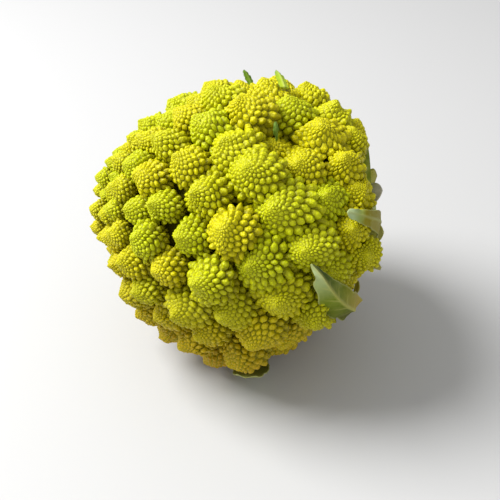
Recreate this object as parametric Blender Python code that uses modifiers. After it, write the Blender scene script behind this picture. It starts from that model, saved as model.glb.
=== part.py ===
# Romanesco head lying on its side, with its cut stem, the stubs of its trimmed leaves and the
# small leaves that were left on. Metres, +Z up. The tip of the head points to -X and a little up,
# and its stem to +X. The head rests on the florets that are pressed flat underneath it.

import math

import bmesh
import bpy
import numpy as np
from mathutils import Vector

# The head as a whole. Its tip is bent away from the line of its stem.
HEART = np.array((0.009126, 0.002210, 0.0700))
TIP_DIRECTION = (-0.971, 0.008, 0.240)
STEM_DIRECTION = (0.996, -0.054, 0.073)
HEAD_RADIUS = 0.0735
PEAK_HEIGHT = 0.008
PEAK_ANGLE = math.radians(14)
SAG = 0.045
SAG_DIRECTION = np.array((-0.75, -0.40, -0.526))

# Below the stem the head is drawn in
HOLLOW = 0.20
HOLLOW_DIRECTION = np.array((0.66, -0.44, -0.61))
HOLLOW_ANGLE = math.radians(48)

# Florets stand on one spiral, each a golden angle on from the last
GOLDEN_ANGLE = math.pi * (3 - math.sqrt(5))
FLORET_STEP = 0.0141
FLORET_WIDTH = 0.32
TIP_SPREAD = 0.028
SPIRAL_HAND = -1
SPIRAL_START = math.radians(69)
LAST_ROW_ANGLE = math.radians(135)
TIP_ROW_ANGLE = math.radians(1.5)
FLORET_LEAN = 0.38
SEAT_SHARE = 0.45
GAP_DEPTH = 0.46
SEAM_DEPTH = 0.34

# A floret's own outline, in half widths
CONE_DROP = 0.68
DOME_DROP = 0.50
SIDE_DEPTH = 0.25
SIDE_TUCK = 0.10

# Buds on a floret, larger than life
BUD_STEP = 0.115
LARGE_FLORET = 0.0150
LARGE_FLORET_BUDS = 13
SMALL_FLORET = 0.0080
SMALL_FLORET_BUDS = 5
BUD_NEIGHBOURS = (3, 5)
BUD_HEIGHT = 0.16
BUD_CREASE = 0.09
CLOSEST_POINTS = 0.0011

# The florets underneath share the weight, and are pressed flat by it
REST_ANGLE = math.radians(30)
REST_PRESS = 0.0036

# Variation between florets
SEED = 14
SIZE_VARIATION = 0.11
HEIGHT_VARIATION = 0.024
PLACE_VARIATION = 0.09
LEAN_VARIATION = 0.12

# Florets that outgrew the others: direction from the heart, how much wider, how much taller
OUTGROWN = (
    ((0.133, -0.677, 0.724), 1.28, 1.02),
    ((-0.053, -0.856, 0.514), 1.08, 1.03),
    ((0.219, -0.895, 0.388), 1.08, 1.02),
    ((-0.131, -0.122, 0.984), 1.10, 1.02),
    ((0.275, -0.011, 0.961), 1.10, 1.03),
    ((-0.873, 0.003, 0.487), 1.12, 1.03),
    ((-0.974, -0.227, -0.019), 1.15, 1.04),
    ((-0.858, -0.425, -0.288), 1.12, 1.04),
)

# Underside, where the branches run in to the stem
BRANCHES = 9
BRANCH_RELIEF = 0.05
RIM_ANGLE = math.radians(143)
RIM_REACH = 0.066
STEM_SEAT = 0.046
SEAT_RADIUS = 0.0180
UNDERSIDE_ROWS = 4
STEM_RADIUS = 0.0160
STEM_END_RADIUS = 0.0140
STEM_LENGTH = 0.0120
TOUCH_GAP = 0.0003

# Stubs of the trimmed leaves round the stem: turn in degrees and share of the full width, then
# distance along the stem's line and out from it
STUBS = ((72, 0.62), (137, 1.0), (212, 1.0), (290, 1.0), (26, 0.62))
STUB_ROUTE = ((0.0468, 0.0180), (0.0515, 0.0205), (0.0560, 0.0235), (0.0605, 0.0260))
STUB_HALF_WIDTHS = (0.0105, 0.0100, 0.0088, 0.0062)
STUB_THICKNESS = 0.0026
STUB_CUP = -25.0
STUB_STEPS = 5

# Leaves, along their midribs from base to tip: across, up and forward from the heart, in a frame
# that leans back by FRONT_TILT, with the half width at each point
FRONT_TILT = math.radians(37.2)
LEAF_THICKNESS = 0.0008
LEAF_CUP = 14.0
BED_MARGIN = 0.0035
BED_GAP = 0.0016
BED_STEPS = 24
CURLED_LEAF = (
    ((0.0490, -0.0315, 0.0060), 0.0030),
    ((0.0465, -0.0390, 0.0140), 0.0045),
    ((0.0450, -0.0427, 0.0260), 0.0070),
    ((0.0432, -0.0418, 0.0377), 0.0086),
    ((0.0388, -0.0394, 0.0500), 0.0088),
    ((0.0344, -0.0357, 0.0580), 0.0074),
    ((0.0300, -0.0305, 0.0645), 0.0048),
    ((0.0264, -0.0256, 0.0680), 0.0024),
    ((0.0222, -0.0208, 0.0690), 0.0014),
)
FRONT_LEAF = (
    ((0.0560, -0.0030, 0.0335), 0.0056),
    ((0.0545, -0.0020, 0.0430), 0.0048),
    ((0.0485, -0.0012, 0.0575), 0.0034),
    ((0.0425, 0.0000, 0.0625), 0.0024),
    ((0.0375, 0.0010, 0.0655), 0.0016),
)
UNDER_LEAF = (
    ((0.0020, -0.0698, -0.0205), 0.0030),
    ((0.0005, -0.0722, -0.0130), 0.0055),
    ((-0.0015, -0.0745, -0.0040), 0.0080),
    ((-0.0035, -0.0760, 0.0050), 0.0086),
    ((-0.0045, -0.0764, 0.0110), 0.0066),
    ((-0.0050, -0.0764, 0.0145), 0.0020),
)
TOP_LEFT_LEAF = (
    ((-0.0025, 0.0655, 0.0060), 0.0016),
    ((-0.0045, 0.0705, 0.0040), 0.0020),
    ((-0.0065, 0.0745, 0.0020), 0.0008),
)
TOP_RIGHT_LEAF = (
    ((0.0125, 0.0600, 0.0310), 0.0022),
    ((0.0107, 0.0672, 0.0225), 0.0020),
    ((0.0092, 0.0720, 0.0125), 0.0007),
)
MIDDLE_LEAF = (
    ((0.0080, 0.0330, 0.0545), 0.0016),
    ((0.0077, 0.0360, 0.0590), 0.0018),
    ((0.0074, 0.0400, 0.0600), 0.0008),
)
LEAVES = {
    "curled_leaf": (CURLED_LEAF, 26, 4),
    "front_leaf": (FRONT_LEAF, 14, 2),
    "under_leaf": (UNDER_LEAF, 18, 4),
    "top_left_leaf": (TOP_LEFT_LEAF, 6, 2),
    "top_right_leaf": (TOP_RIGHT_LEAF, 6, 2),
    "middle_leaf": (MIDDLE_LEAF, 5, 2),
}


def unit(vectors):
    return vectors / np.linalg.norm(vectors, axis=-1, keepdims=True)


TIP_AXIS = unit(np.array(TIP_DIRECTION))
STEM_AXIS = unit(np.array(STEM_DIRECTION))
ACROSS = np.array((1.0, 0.0, 0.0))
UP = np.array((0.0, math.sin(FRONT_TILT), math.cos(FRONT_TILT)))
FORWARD = np.array((0.0, -math.cos(FRONT_TILT), math.sin(FRONT_TILT)))


def clear_scene():
    for thing in list(bpy.data.objects):
        bpy.data.objects.remove(thing, do_unlink=True)


def make_material(name, colour, roughness):
    material = bpy.data.materials.new(name)
    material.use_nodes = True
    shader = material.node_tree.nodes["Principled BSDF"]
    shader.inputs["Base Color"].default_value = (*colour, 1.0)
    shader.inputs["Roughness"].default_value = roughness
    shader.inputs["Metallic"].default_value = 0.0
    return material


def add_object(name, mesh, material, collection):
    thing = bpy.data.objects.new(name, mesh)
    mesh.materials.append(material)
    collection.objects.link(thing)
    return thing


def envelope(polar):
    """Distance from the heart to the head's outer surface, by angle from the tip."""
    return HEAD_RADIUS + PEAK_HEIGHT * np.exp(-polar / PEAK_ANGLE)


def drawn_in(outward):
    """Share of its reach that the head keeps in each direction."""
    edge = math.cos(HOLLOW_ANGLE)
    share = np.clip((outward @ HOLLOW_DIRECTION - edge) / (1 - edge), 0, 1)
    return 1 - HOLLOW * share * (2 - share)


def head_direction(polar, turn):
    """Unit vector from the heart, by angle from the tip and turn round the bent axis."""
    polar = np.asarray(polar, float)[..., None]
    turn = np.asarray(turn, float)[..., None]
    share = polar / math.pi
    axis = unit((1 - share) * TIP_AXIS - share * STEM_AXIS)
    side = unit(np.cross(axis, (0.0, 0.0, 1.0)))
    top = np.cross(side, axis)
    return np.cos(polar) * axis + np.sin(polar) * (np.cos(turn) * top + np.sin(turn) * side)


def place_in_front(point):
    """A place written across, up and forward, as an offset from the heart."""
    return point[0] * ACROSS + point[1] * UP + point[2] * FORWARD


def smooth_route(points, steps):
    """Points of a smooth curve through the given ones, evenly spread."""
    points = np.array(points, float)
    padded = np.concatenate((2 * points[:1] - points[1:2], points, 2 * points[-1:] - points[-2:-1]))
    found = []
    for place in np.linspace(0, len(points) - 1, steps + 1):
        first = min(int(place), len(points) - 2)
        share = place - first
        before, start, end, after = padded[first : first + 4]
        bend = 2 * before - 5 * start + 4 * end - after
        twist = 3 * (start - end) + after - before
        found.append(start + 0.5 * share * (end - before + share * (bend + share * twist)))
    return np.array(found)


def leaf_rows(leaf, steps):
    """Midrib points and half widths of a leaf, as offsets from the heart."""
    rows = smooth_route([(*place_in_front(point), half) for point, half in leaf], steps)
    return rows[:, :3], rows[:, 3]


def stem_frame():
    first = unit(np.cross(STEM_AXIS, (0.0, 1.0, 0.0)))
    return first, np.cross(STEM_AXIS, first)


def stub_rows(number, steps):
    """Midrib points and half widths of a leaf stub, as offsets from the heart."""
    first, second = stem_frame()
    turn = math.radians(STUBS[number][0])
    outward = math.cos(turn) * first + math.sin(turn) * second
    route = [along * STEM_AXIS + out * outward for along, out in STUB_ROUTE]
    half_widths = np.array(STUB_HALF_WIDTHS) * STUBS[number][1]
    rows = smooth_route([(*point, half) for point, half in zip(route, half_widths)], steps)
    return rows[:, :3], rows[:, 3]


def leaf_beds():
    """Every place along a leaf or stub that the curd keeps clear of, with its half width."""
    rows = [leaf_rows(leaf, BED_STEPS) for leaf, _, _ in LEAVES.values()]
    rows += [stub_rows(number, BED_STEPS) for number in range(len(STUBS))]
    return np.concatenate([points for points, _ in rows]), np.concatenate([half for _, half in rows])


def keep_under_leaves(points, margin):
    """Draws points in towards the heart wherever a leaf lies over them."""
    places, half_widths = leaf_beds()
    reach = np.linalg.norm(places, axis=1)
    directions = unit(places)
    found = points.copy()
    for number, point in enumerate(points):
        length = np.linalg.norm(point)
        across = np.linalg.norm(directions - point / length, axis=1) * reach
        over = across < half_widths + margin
        if over.any():
            limit = (reach[over] - BED_GAP - across[over] ** 2 / (2 * reach[over])).min()
            found[number] = point * min(1.0, limit / length)
    return found


def even_rows(travel, from_axis, step):
    """Where equal spiral steps fall along a turned outline, so that they stay in scale with it."""
    rate = 1 / from_axis
    pieces = 0.5 * (rate[1:] + rate[:-1]) * np.abs(np.diff(travel))
    climbed = np.concatenate(([0.0], np.cumsum(pieces)))
    steps = np.arange(0.0, climbed[-1], step)
    return np.interp(steps, climbed, np.arange(len(travel)))


def floret_angles():
    polar = np.linspace(LAST_ROW_ANGLE, TIP_ROW_ANGLE, 3000)
    radius = envelope(polar)
    stretch = np.hypot(radius, np.gradient(radius, polar))
    travel = np.concatenate(([0.0], np.cumsum(stretch[1:] * np.abs(np.diff(polar)))))
    away = radius * np.sin(polar)
    rows = even_rows(travel, (away**2 + TIP_SPREAD**2) / away, FLORET_STEP)
    return np.interp(rows, np.arange(len(polar)), polar)


def lay_out_florets():
    """Tip, axis, width and seat direction of every floret, from the lowest row to the tip."""
    draw = np.random.default_rng(SEED)
    polar = floret_angles()
    count = len(polar)
    size = 1 + SIZE_VARIATION * draw.uniform(-1.6, 1.6, count)
    height = 1 + HEIGHT_VARIATION * draw.uniform(-1.6, 1.6, count)
    shift = PLACE_VARIATION * draw.uniform(-1.0, 1.0, (count, 2))
    lean = LEAN_VARIATION * draw.uniform(-1.0, 1.0, (count, 3))
    across = FLORET_WIDTH * np.hypot(np.sin(polar), TIP_SPREAD / HEAD_RADIUS)
    polar = polar + shift[:, 0] * across
    spiral = SPIRAL_HAND * np.arange(count) * GOLDEN_ANGLE
    turn = SPIRAL_START + spiral + shift[:, 1] * across / np.sin(polar)
    outward = head_direction(polar, turn)
    for direction, wider, taller in OUTGROWN:
        nearest = np.argmax(outward @ np.array(direction))
        size[nearest] *= wider
        height[nearest] *= taller
    width = FLORET_WIDTH * np.hypot(envelope(polar) * np.sin(polar), TIP_SPREAD) * size
    reach = envelope(polar) * height * (1 + SAG * outward @ SAG_DIRECTION) * drawn_in(outward)
    downward = -outward[:, 2]
    under = downward > math.cos(REST_ANGLE)
    reach[under] = (HEART[2] + REST_PRESS) / downward[under]
    tips = keep_under_leaves(outward * reach[:, None], BED_MARGIN)
    axes = unit(outward + FLORET_LEAN * TIP_AXIS + lean)
    seats = unit(tips - axes * (SEAT_SHARE * width)[:, None])
    return tips, axes, width, seats


def floret_outline():
    """A floret's outline from its side up to its point: distance from its axis, and drop."""
    side = np.linspace(SIDE_DEPTH, 0.0, 60)
    dome = np.linspace(1.0, 0.02, 400)
    from_axis = np.concatenate((1 - SIDE_TUCK * (side / SIDE_DEPTH) ** 2, dome[1:]))
    rim_drop = CONE_DROP + DOME_DROP
    dome_drop = CONE_DROP * dome + DOME_DROP * (1 - np.sqrt(1 - dome**2))
    return from_axis, np.concatenate((rim_drop + side, dome_drop[1:]))


def bud_lattice(bud_count):
    """Places of the buds and of the creases between them, for a floret of unit half width."""
    from_axis, drop = floret_outline()
    travel = np.concatenate(([0.0], np.cumsum(np.hypot(np.diff(from_axis), np.diff(drop)))))
    rows = even_rows(travel, from_axis, BUD_STEP)[: bud_count + sum(BUD_NEIGHBOURS) + 1]
    slope_out = np.gradient(drop, travel)
    slope_up = -np.gradient(from_axis, travel)
    order = np.arange(len(rows))
    few, many = BUD_NEIGHBOURS
    few_turn = math.remainder(few * GOLDEN_ANGLE, 2 * math.pi)
    many_turn = math.remainder(many * GOLDEN_ANGLE, 2 * math.pi)
    creases = []
    for few_share, many_share in ((2 / 3, 1 / 3), (1 / 3, 2 / 3)):
        ahead = few * few_share + many * many_share
        place = order[:bud_count] + ahead
        turn = order[:bud_count] * GOLDEN_ANGLE + few_turn * few_share + many_turn * many_share
        creases.append((place, turn))
    sets = [(order[:bud_count], order[:bud_count] * GOLDEN_ANGLE, BUD_HEIGHT)]
    sets += [(place, turn, -BUD_CREASE) for place, turn in creases]
    found = []
    for place, turn, rise in sets:
        place = place[place < len(rows) - 1]
        turn = turn[: len(place)]
        row = np.interp(place, order, rows)
        away = np.interp(row, np.arange(len(from_axis)), from_axis)
        down = np.interp(row, np.arange(len(drop)), drop)
        bud = away * math.sqrt(BUD_STEP * 2 * math.pi * 2 / math.sqrt(3))
        away = away + rise * bud * np.abs(np.interp(row, np.arange(len(drop)), slope_out))
        down = down - rise * bud * np.interp(row, np.arange(len(drop)), slope_up)
        found.append(np.stack((away * np.cos(turn), away * np.sin(turn), down), axis=1))
    return found


def floret_points(tip, axis, width, start_turn):
    """The floret's point, then its buds and creases, as offsets from the heart."""
    if width < SMALL_FLORET:
        return tip[None, :], np.empty((0, 3))
    bud_count = LARGE_FLORET_BUDS if width > LARGE_FLORET else SMALL_FLORET_BUDS
    first = unit(np.cross(axis, SAG_DIRECTION))
    second = np.cross(axis, first)
    buds, low_creases, high_creases = bud_lattice(bud_count)
    creases = np.concatenate((low_creases, high_creases))
    turned = []
    for points in (buds, creases):
        spin = points[:, 0] * math.cos(start_turn) - points[:, 1] * math.sin(start_turn)
        swing = points[:, 0] * math.sin(start_turn) + points[:, 1] * math.cos(start_turn)
        offset = spin[:, None] * first + swing[:, None] * second - points[:, 2:] * axis
        turned.append(tip + offset * width / 2)
    return np.concatenate((tip[None, :], turned[0])), turned[1]


def keep_own(points, owner, seats, width):
    """Keeps the points that no neighbouring floret covers."""
    outward = unit(points)
    distance = np.linalg.norm(outward[:, None, :] - seats[None, :, :], axis=2) / width
    return points[np.argmin(distance, axis=1) == owner]


def hull_of(directions):
    """Triangles and edges that join points spread over a sphere to their neighbours."""
    hull = bmesh.new()
    for direction in directions:
        hull.verts.new(Vector(direction))
    hull.verts.index_update()
    bmesh.ops.convex_hull(hull, input=hull.verts[:], use_existing_faces=False)
    bmesh.ops.recalc_face_normals(hull, faces=hull.faces[:])
    faces = [[vertex.index for vertex in face.verts] for face in hull.faces]
    edges = [[vertex.index for vertex in edge.verts] for edge in hull.edges if edge.link_faces]
    hull.free()
    return faces, edges


def gaps_between(tips, width, seats, underside):
    """Low points in the seams and corners between neighbouring florets."""
    everything = np.concatenate((seats, unit(underside)))
    faces, edges = hull_of(everything)
    reach = np.linalg.norm(tips, axis=1)
    seams, corners = [], []
    for joined, depth, found in ((edges, SEAM_DEPTH, seams), (faces, GAP_DEPTH, corners)):
        for group in joined:
            if max(group) >= len(seats):
                continue
            share = 1 / width[group]
            direction = unit((seats[group] * share[:, None]).sum(axis=0))
            low = reach[group].mean() - depth * (width[group].mean() + width[group].min() / 2)
            found.append(direction * low)
    return np.array(corners), np.array(seams)


def seat_ring(radius, count):
    """Points on the flat face that the stem sits on."""
    polar = math.pi - math.atan(radius / STEM_SEAT)
    directions = head_direction(np.full(count, polar), np.arange(count) * 2 * math.pi / count)
    return directions * (STEM_SEAT / (directions @ STEM_AXIS))[:, None]


def underside_points():
    """Ribs of the branches round the seat for the stem."""
    seat_edge = math.pi - math.atan(SEAT_RADIUS / STEM_SEAT)
    points = []
    for row in range(UNDERSIDE_ROWS):
        share = row / UNDERSIDE_ROWS
        polar = RIM_ANGLE + (seat_edge - RIM_ANGLE) * share
        reach = RIM_REACH + (math.hypot(STEM_SEAT, SEAT_RADIUS) - RIM_REACH) * share**0.6
        for step in range(4 * BRANCHES):
            turn = (step + 0.5 * row) * 2 * math.pi / (4 * BRANCHES)
            relief = BRANCH_RELIEF * math.sin(math.pi * share) * math.cos(BRANCHES * turn)
            outward = head_direction(polar, turn)
            points.append(outward * reach * (1 + relief) * (1 - (1 - drawn_in(outward)) * (1 - share)))
    seat = [seat_ring(SEAT_RADIUS, 4 * BRANCHES), seat_ring(SEAT_RADIUS / 2, BRANCHES)]
    return np.concatenate([np.array(points), *seat, STEM_AXIS[None, :] * STEM_SEAT])


def thin_out(groups):
    """Drops any point that crowds one before it."""
    kept = np.empty((0, 3))
    for points in groups:
        for point in points:
            apart = np.linalg.norm(unit(kept) - unit(point), axis=1)
            if not len(kept) or apart.min() * np.linalg.norm(point) > CLOSEST_POINTS:
                kept = np.vstack((kept, point))
    return kept


def press_flat(points):
    """Points that would pass through the surface below are drawn in to lie on it."""
    drop = np.maximum(-points[:, 2], 1e-9)
    share = np.minimum(1.0, HEART[2] / drop)
    return points * share[:, None]


def make_curd(collection):
    tips, axes, width, seats = lay_out_florets()
    points, creases = [], []
    for number in range(len(tips)):
        start = number * GOLDEN_ANGLE
        shown, low = floret_points(tips[number], axes[number], width[number], start)
        own = keep_own(shown[1:], number, seats, width)
        points.append(np.concatenate((shown[:1], own)))
        if len(low):
            creases.append(keep_own(low, number, seats, width))
    under = underside_points()
    corners, seams = gaps_between(tips, width, seats, under)
    peak = TIP_AXIS[None, :] * envelope(0.0)
    skin = thin_out([peak, under, np.concatenate(points), corners, seams, np.concatenate(creases)])
    faces, _ = hull_of(unit(skin))
    skin = press_flat(keep_under_leaves(skin, BED_MARGIN)) + HEART
    mesh = bpy.data.meshes.new("curd")
    mesh.from_pydata([tuple(point) for point in skin], [], faces)
    mesh.validate()
    material = make_material("curd_lime", (0.55, 0.62, 0.02), 0.6)
    return add_object("curd", mesh, material, collection)


def blade_mesh(name, midrib, half_widths, across_steps, cup):
    """A blade along a midrib, bent by cup across its width and split into triangles."""
    tangent = unit(np.gradient(midrib, axis=0))
    outward = unit(midrib)
    sideways = unit(np.cross(tangent, outward))
    facing = np.cross(sideways, tangent)
    surface = bmesh.new()
    rows = []
    for number, centre in enumerate(midrib):
        row = []
        for step in range(across_steps + 1):
            share = 2 * step / across_steps - 1
            away = share * half_widths[number]
            place = centre + away * sideways[number] - cup * away**2 * facing[number]
            row.append(surface.verts.new(Vector(place + HEART)))
        rows.append(row)
    for low, high in zip(rows[:-1], rows[1:]):
        for step in range(across_steps):
            surface.faces.new((low[step], low[step + 1], high[step + 1]))
            surface.faces.new((low[step], high[step + 1], high[step]))
    mesh = bpy.data.meshes.new(name)
    surface.to_mesh(mesh)
    surface.free()
    return mesh


def add_thickness(thing, thickness):
    solid = thing.modifiers.new("thickness", "SOLIDIFY")
    solid.thickness = thickness
    solid.offset = 0.0
    solid.use_even_offset = False


def make_leaves(collection, material):
    for name, (leaf, steps, across_steps) in LEAVES.items():
        midrib, half_widths = leaf_rows(leaf, steps)
        mesh = blade_mesh(name, midrib, half_widths, across_steps, LEAF_CUP)
        add_thickness(add_object(name, mesh, material, collection), LEAF_THICKNESS)


def make_stubs(collection, material):
    for number in range(len(STUBS)):
        name = f"leaf_stub_{number + 1}"
        midrib, half_widths = stub_rows(number, STUB_STEPS)
        mesh = blade_mesh(name, midrib, half_widths, STUB_STEPS, STUB_CUP)
        add_thickness(add_object(name, mesh, material, collection), STUB_THICKNESS)


def make_stem(collection, material):
    shape = bmesh.new()
    bmesh.ops.create_cone(
        shape,
        cap_ends=True,
        segments=20,
        radius1=STEM_RADIUS,
        radius2=STEM_END_RADIUS,
        depth=STEM_LENGTH,
    )
    mesh = bpy.data.meshes.new("stem")
    shape.to_mesh(mesh)
    shape.free()
    stem = add_object("stem", mesh, material, collection)
    stem.rotation_mode = "QUATERNION"
    stem.rotation_quaternion = Vector(STEM_AXIS).to_track_quat("Z", "Y")
    stem.location = Vector(HEART + STEM_AXIS * (STEM_SEAT + TOUCH_GAP + STEM_LENGTH / 2))
    return stem


def main():
    clear_scene()
    collection = bpy.data.collections.new("romanesco_head")
    bpy.context.scene.collection.children.link(collection)
    make_curd(collection)
    make_stem(collection, make_material("stem_cream_green", (0.55, 0.62, 0.36), 0.55))
    make_stubs(collection, make_material("stub_pale_green", (0.42, 0.52, 0.26), 0.5))
    make_leaves(collection, make_material("leaf_blue_green", (0.14, 0.30, 0.12), 0.45))


main()
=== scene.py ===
# Romanesco head lying on its side. Metres, +Z up.

import math

import bpy
import numpy as np
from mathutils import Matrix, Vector
from mathutils.geometry import delaunay_2d_cdt


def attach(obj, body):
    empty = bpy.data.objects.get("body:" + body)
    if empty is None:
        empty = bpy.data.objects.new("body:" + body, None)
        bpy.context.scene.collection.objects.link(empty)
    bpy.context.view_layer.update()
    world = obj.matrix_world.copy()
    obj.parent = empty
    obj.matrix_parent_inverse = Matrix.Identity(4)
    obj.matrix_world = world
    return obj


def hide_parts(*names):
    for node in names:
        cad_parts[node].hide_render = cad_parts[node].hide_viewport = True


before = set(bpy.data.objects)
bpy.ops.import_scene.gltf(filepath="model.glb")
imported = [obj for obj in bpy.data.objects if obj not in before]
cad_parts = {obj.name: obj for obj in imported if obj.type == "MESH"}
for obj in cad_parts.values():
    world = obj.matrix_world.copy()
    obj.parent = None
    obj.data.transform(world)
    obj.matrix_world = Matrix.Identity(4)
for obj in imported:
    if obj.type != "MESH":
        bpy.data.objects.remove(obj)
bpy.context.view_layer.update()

goldenAngle = math.pi * (3 - math.sqrt(5))
fullTurn = 2 * math.pi

# The head as a whole: its tip is bent away from the line of its stem
head = {
    "heart": np.array((0.009126, 0.002210, 0.0700)),
    "tipDirection": np.array((-0.971, 0.008, 0.240)),
    "stemDirection": np.array((0.996, -0.054, 0.073)),
    "radius": 0.0735,
    "peakHeight": 0.008,
    "peakAngle": math.radians(14),
    "sag": 0.045,
    "sagDirection": np.array((-0.75, -0.40, -0.526)),
    "hollow": 0.20,          # below the stem the head is drawn in
    "hollowDirection": np.array((0.66, -0.44, -0.61)),
    "hollowAngle": math.radians(48),
    "frontTilt": math.radians(37.2),   # how far the leaves' frame leans back
}


def unit(vectors):
    return vectors / np.linalg.norm(vectors, axis=-1, keepdims=True)


heart = head["heart"]
tipAxis = unit(head["tipDirection"])
stemAxis = unit(head["stemDirection"])
acrossAxis = np.array((1.0, 0.0, 0.0))
upAxis = np.array((0.0, math.sin(head["frontTilt"]), math.cos(head["frontTilt"])))
forwardAxis = np.array((0.0, -math.cos(head["frontTilt"]), math.sin(head["frontTilt"])))


def envelope(polar):
    # distance from the heart to the outer surface, by angle from the tip
    return head["radius"] + head["peakHeight"] * np.exp(-polar / head["peakAngle"])


def drawnIn(outward):
    # share of its reach that the head keeps in each direction
    edge = math.cos(head["hollowAngle"])
    share = np.clip((outward @ head["hollowDirection"] - edge) / (1 - edge), 0, 1)
    return 1 - head["hollow"] * share * (2 - share)


def headDirection(polar, turn):
    polar = np.asarray(polar, float)[..., None]
    turn = np.asarray(turn, float)[..., None]
    share = polar / math.pi
    axis = unit((1 - share) * tipAxis - share * stemAxis)
    side = unit(np.cross(axis, (0.0, 0.0, 1.0)))
    top = np.cross(side, axis)
    return np.cos(polar) * axis + np.sin(polar) * (np.cos(turn) * top + np.sin(turn) * side)


def placeInFront(point):
    return point[0] * acrossAxis + point[1] * upAxis + point[2] * forwardAxis


# Camera: 60 mm lens at the photograph's height and turn
view = {
    "distance": 0.4165,
    "lens": 60.0,
    "sensor": 36.0,
    "frame": 500,            # pixels across and down
    "heartPixel": (257, 220),
}


def makeCamera():
    toward = forwardAxis
    focal = view["lens"] / view["sensor"] * view["frame"]
    middle = view["frame"] / 2
    right = (view["heartPixel"][0] - middle) / focal * view["distance"]
    down = (view["heartPixel"][1] - middle) / focal * view["distance"]
    place = heart + toward * view["distance"] - acrossAxis * right + upAxis * down
    data = bpy.data.cameras.new("camera")
    data.lens = view["lens"]
    data.sensor_width = view["sensor"]
    data.clip_start = 0.01
    camera = bpy.data.objects.new("camera", data)
    camera.location = Vector(place)
    camera.rotation_euler = Vector(-toward).to_track_quat("-Z", "Y").to_euler()
    bpy.context.scene.collection.objects.link(camera)
    bpy.context.scene.camera = camera


makeCamera()
print("camera ready")

# Leaves and the stubs of trimmed leaves, along their midribs from base to tip. A leaf's points
# are across, up and forward from the heart, a stub's are along the stem's line and out from it
leaves = {
    "curledLeaf": (
        ((0.0490, -0.0315, 0.0060), 0.0030),
        ((0.0465, -0.0390, 0.0140), 0.0045),
        ((0.0450, -0.0427, 0.0260), 0.0070),
        ((0.0432, -0.0418, 0.0377), 0.0086),
        ((0.0388, -0.0394, 0.0500), 0.0088),
        ((0.0344, -0.0357, 0.0580), 0.0074),
        ((0.0300, -0.0305, 0.0645), 0.0048),
        ((0.0264, -0.0256, 0.0680), 0.0024),
        ((0.0222, -0.0208, 0.0690), 0.0014),
    ),
    "frontLeaf": (
        ((0.0560, -0.0030, 0.0335), 0.0056),
        ((0.0545, -0.0020, 0.0430), 0.0048),
        ((0.0485, -0.0012, 0.0575), 0.0034),
        ((0.0425, 0.0000, 0.0625), 0.0024),
        ((0.0375, 0.0010, 0.0655), 0.0016),
    ),
    "underLeaf": (
        ((0.0020, -0.0698, -0.0205), 0.0030),
        ((0.0005, -0.0722, -0.0130), 0.0055),
        ((-0.0015, -0.0745, -0.0040), 0.0080),
        ((-0.0035, -0.0760, 0.0050), 0.0086),
        ((-0.0045, -0.0764, 0.0110), 0.0066),
        ((-0.0050, -0.0764, 0.0145), 0.0020),
    ),
    "topLeftLeaf": (
        ((-0.0025, 0.0655, 0.0060), 0.0016),
        ((-0.0045, 0.0705, 0.0040), 0.0020),
        ((-0.0065, 0.0745, 0.0020), 0.0008),
    ),
    "topRightLeaf": (
        ((0.0125, 0.0600, 0.0310), 0.0022),
        ((0.0107, 0.0672, 0.0225), 0.0020),
        ((0.0092, 0.0720, 0.0125), 0.0007),
    ),
    "middleLeaf": (
        ((0.0080, 0.0330, 0.0545), 0.0016),
        ((0.0077, 0.0360, 0.0590), 0.0018),
        ((0.0074, 0.0400, 0.0600), 0.0008),
    ),
}
stubs = {
    "turns": (72, 137, 212, 290, 26),        # degrees round the stem
    "widths": (0.62, 1.0, 1.0, 1.0, 0.62),   # shares of the half widths below
    "route": ((0.0468, 0.0180), (0.0515, 0.0205), (0.0560, 0.0235), (0.0605, 0.0260)),
    "halfWidths": (0.0105, 0.0100, 0.0088, 0.0062),
    "pale": 4,               # the one with a pale, dry skin, counted from 0
}
bed = {"margin": 0.0035, "floretMargin": 0.001, "gap": 0.0016, "steps": 24}


def smoothRoute(points, steps):
    points = np.array(points, float)
    padded = np.concatenate((2 * points[:1] - points[1:2], points, 2 * points[-1:] - points[-2:-1]))
    found = []
    for place in np.linspace(0, len(points) - 1, steps + 1):
        first = min(int(place), len(points) - 2)
        share = place - first
        before, start, end, after = padded[first : first + 4]
        bend = 2 * before - 5 * start + 4 * end - after
        twist = 3 * (start - end) + after - before
        found.append(start + 0.5 * share * (end - before + share * (bend + share * twist)))
    return np.array(found)


def leafRows(leaf, steps):
    rows = smoothRoute([(*placeInFront(point), half) for point, half in leaf], steps)
    return rows[:, :3], rows[:, 3]


def stemFrame():
    first = unit(np.cross(stemAxis, (0.0, 1.0, 0.0)))
    return first, np.cross(stemAxis, first)


def stubRows(number, steps):
    first, second = stemFrame()
    turn = math.radians(stubs["turns"][number])
    outward = math.cos(turn) * first + math.sin(turn) * second
    route = [along * stemAxis + out * outward for along, out in stubs["route"]]
    halfWidths = np.array(stubs["halfWidths"]) * stubs["widths"][number]
    rows = smoothRoute([(*point, half) for point, half in zip(route, halfWidths)], steps)
    return rows[:, :3], rows[:, 3]


def leafBeds():
    rows = [leafRows(leaf, bed["steps"]) for leaf in leaves.values()]
    rows += [stubRows(number, bed["steps"]) for number in range(len(stubs["turns"]))]
    return np.concatenate([points for points, _ in rows]), np.concatenate([half for _, half in rows])


def keepUnderLeaves(points, margin):
    # points are drawn in towards the heart wherever a leaf lies over them
    places, halfWidths = leafBeds()
    reach = np.linalg.norm(places, axis=1)
    directions = unit(places)
    length = np.linalg.norm(points, axis=1)
    outward = points / length[:, None]
    share = np.ones(len(points))
    for place, half, direction in zip(reach, halfWidths, directions):
        near = np.nonzero(outward @ direction > 0.95)[0]
        across = np.linalg.norm(direction - outward[near], axis=1) * place
        over = across < half + margin
        limit = place - bed["gap"] - across[over] ** 2 / (2 * place)
        found = near[over]
        share[found] = np.minimum(share[found], limit / length[found])
    return points * share[:, None]


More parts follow.
